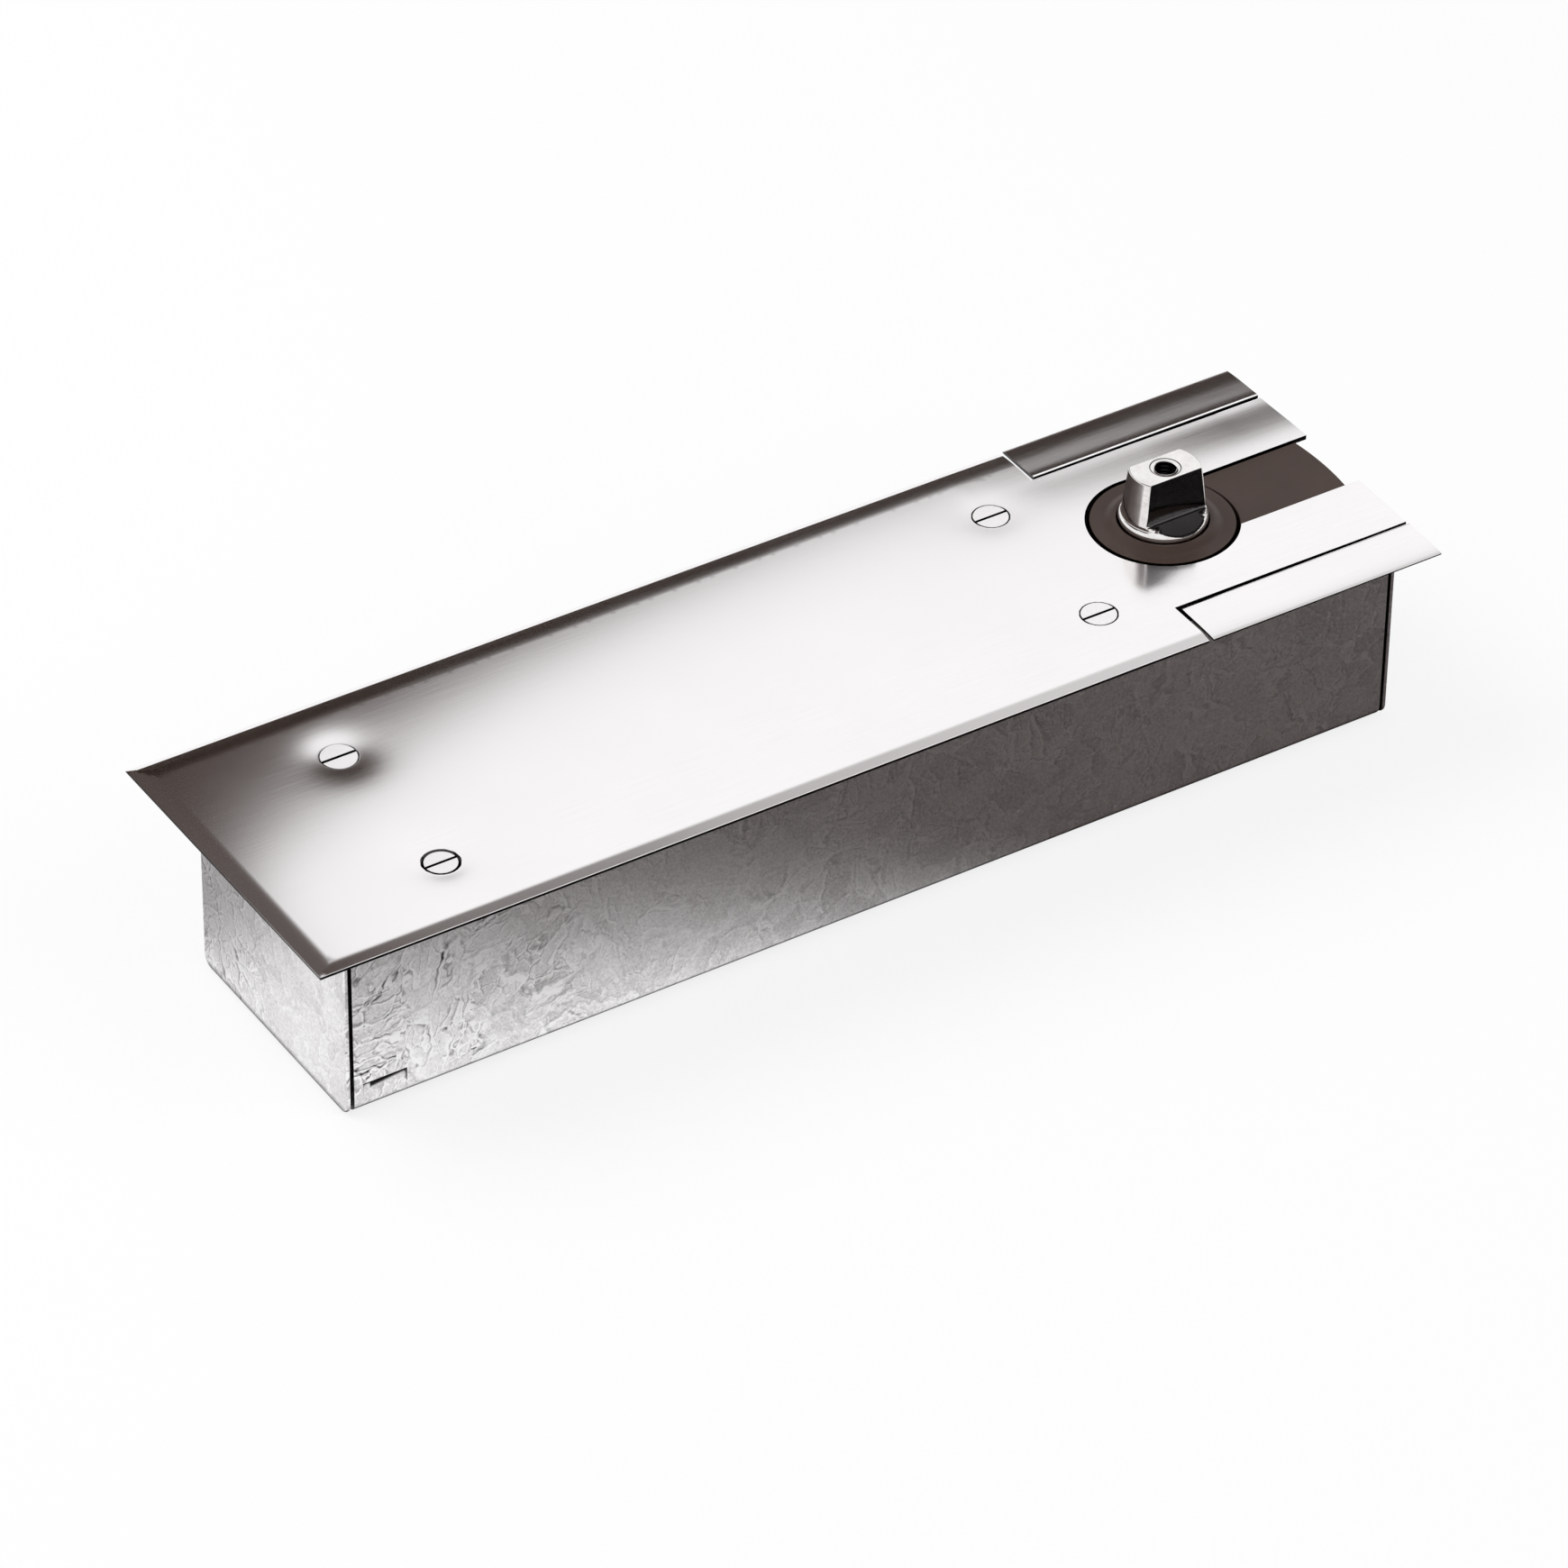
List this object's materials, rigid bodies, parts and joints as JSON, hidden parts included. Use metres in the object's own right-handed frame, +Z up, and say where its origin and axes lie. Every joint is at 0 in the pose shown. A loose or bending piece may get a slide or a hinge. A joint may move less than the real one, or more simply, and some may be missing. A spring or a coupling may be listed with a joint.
{
  "type": "floor spring",
  "caption": "Floor-mounted hydraulic door closer: galvanised cement box, satin steel cover plate and a tapered, flattened spindle that turns the door from below.",
  "frame": {"origin": "on the spindle's axis at the finished floor, which is the top face of the cover plate", "axes": "+X along the plate towards its spindle end, +Y to the back edge of the plate, +Z up along the spindle"},
  "size_m": [0.361, 0.105, 0.0822],
  "materials": {
    "galvanised_sheet": "galvanised, spangled",
    "stainless": "satin, softly reflecting",
    "cover_screw_steel": "satin",
    "dark_plastic": "moulded, slightly satin",
    "cast_iron": "cast, painted dark grey",
    "gasket": "smooth",
    "zinc_hardware": "zinc plated, bright",
    "spindle_steel": "ground, bright",
    "machine_steel": "ground, oiled",
    "brass": "turned",
    "spring_steel": "oil-blued"
  },
  "bodies": {
    "closer": {"box_shell": "galvanised_sheet", "box_end_left": "galvanised_sheet", "box_end_right": "galvanised_sheet", "floor_nuts": "zinc_hardware", "cover_plate": "stainless", "cover_screws": "cover_screw_steel", "edge_strip_front": "stainless", "edge_strip_rear": "stainless", "slot_filler": "dark_plastic", "collar_disc": "dark_plastic", "closer_body": "cast_iron", "body_lid": "cast_iron", "lid_gasket": "gasket", "lid_screws": "zinc_hardware", "oil_plug": "zinc_hardware", "oil_plug_washer": "brass", "channel_plugs": "zinc_hardware", "end_plug": "zinc_hardware", "plug_seal": "gasket", "hold_down_screws": "zinc_hardware", "upper_bearing": "machine_steel", "lower_bearing": "machine_steel", "thrust_bearing": "machine_steel", "spindle_seal": "gasket", "seal_retainer": "zinc_hardware", "closing_spring": "spring_steel", "screw_seal": "gasket"},
    "spindle": {"spindle": "spindle_steel", "cam_disc": "machine_steel", "cam_key": "machine_steel"},
    "carriage": {"strap_upper": "machine_steel", "strap_lower": "machine_steel", "strap_pins": "machine_steel", "drive_roller_pin": "machine_steel", "return_roller_pin": "machine_steel", "piston": "machine_steel", "piston_ring": "brass", "check_valve_seat": "brass", "relief_valve": "brass"},
    "drive_roller": {"drive_roller": "machine_steel"},
    "return_roller": {"return_roller": "machine_steel"},
    "check_ball": {"check_valve_ball": "machine_steel"},
    "force_screw": {"force_screw": "zinc_hardware", "screw_circlip": "zinc_hardware"},
    "spring_plate": {"spring_plate": "zinc_hardware"},
    "closing_valve": {"closing_valve": "brass", "closing_valve_seal": "gasket"},
    "latch_valve": {"latch_valve": "brass", "latch_valve_seal": "gasket"},
    "level_bush_left_front": {"level_bush_left_front": "zinc_hardware"},
    "level_bush_left_rear": {"level_bush_left_rear": "zinc_hardware"},
    "level_bush_right_front": {"level_bush_right_front": "zinc_hardware"},
    "level_bush_right_rear": {"level_bush_right_rear": "zinc_hardware"}
  },
  "joints": [
    {"name": "spindle_turn", "type": "hinge", "parent": "closer", "child": "spindle", "pos_m": [0, 0, 0], "axis": [0, 0, 1], "range_deg": [0, 130]},
    {"name": "carriage_slide", "type": "slide", "parent": "closer", "child": "carriage", "axis": [-1, 0, 0], "range_m": [0, 0.01105], "stiffness_N_per_m": 2000, "springref_m": -0.002, "deforming": ["closing_spring"]},
    {"name": "drive_roller_spin", "type": "hinge", "parent": "carriage", "child": "drive_roller", "pos_m": [-0.01925, 0, -0.035], "axis": [0, 0, 1], "continuous": true},
    {"name": "return_roller_spin", "type": "hinge", "parent": "carriage", "child": "return_roller", "pos_m": [0.03455, 0, -0.035], "axis": [0, 0, 1], "continuous": true},
    {"name": "check_ball_lift", "type": "slide", "parent": "carriage", "child": "check_ball", "axis": [1, 0, 0], "range_m": [0, 0.0015], "stiffness_N_per_m": 5},
    {"name": "force_screw_turn", "type": "hinge", "parent": "closer", "child": "force_screw", "pos_m": [-0.274, 0, -0.035], "axis": [1, 0, 0], "range_deg": [-1920, 1920]},
    {"name": "spring_plate_slide", "type": "slide", "parent": "closer", "child": "spring_plate", "axis": [1, 0, 0], "range_m": [-0.008, 0.008], "deforming": ["closing_spring"]},
    {"name": "closing_valve_turn", "type": "hinge", "parent": "closer", "child": "closing_valve", "pos_m": [-0.08005, -0.027, -0.035], "axis": [0, 0, 1], "range_deg": [-180, 540]},
    {"name": "latch_valve_turn", "type": "hinge", "parent": "closer", "child": "latch_valve", "pos_m": [-0.08005, 0.027, -0.035], "axis": [0, 0, 1], "range_deg": [-180, 540]},
    {"name": "level_bush_left_front_turn", "type": "hinge", "parent": "closer", "child": "level_bush_left_front", "pos_m": [-0.266, -0.027, -0.035], "axis": [0, 0, 1], "range_deg": [-180, 720]},
    {"name": "level_bush_left_rear_turn", "type": "hinge", "parent": "closer", "child": "level_bush_left_rear", "pos_m": [-0.266, 0.027, -0.035], "axis": [0, 0, 1], "range_deg": [-180, 720]},
    {"name": "level_bush_right_front_turn", "type": "hinge", "parent": "closer", "child": "level_bush_right_front", "pos_m": [0.038, -0.027, -0.035], "axis": [0, 0, 1], "range_deg": [-180, 720]},
    {"name": "level_bush_right_rear_turn", "type": "hinge", "parent": "closer", "child": "level_bush_right_rear", "pos_m": [0.038, 0.027, -0.035], "axis": [0, 0, 1], "range_deg": [-180, 720]}
  ],
  "couplings": [
    {"joint": "spindle_turn", "follows": "carriage_slide", "rad_per_m": 205.33},
    {"joint": "drive_roller_spin", "follows": "carriage_slide", "rad_per_m": -569.4},
    {"joint": "return_roller_spin", "follows": "carriage_slide", "rad_per_m": -703.66},
    {"joint": "force_screw_turn", "follows": "spring_plate_slide", "rad_per_m": 4188.8}
  ]
}
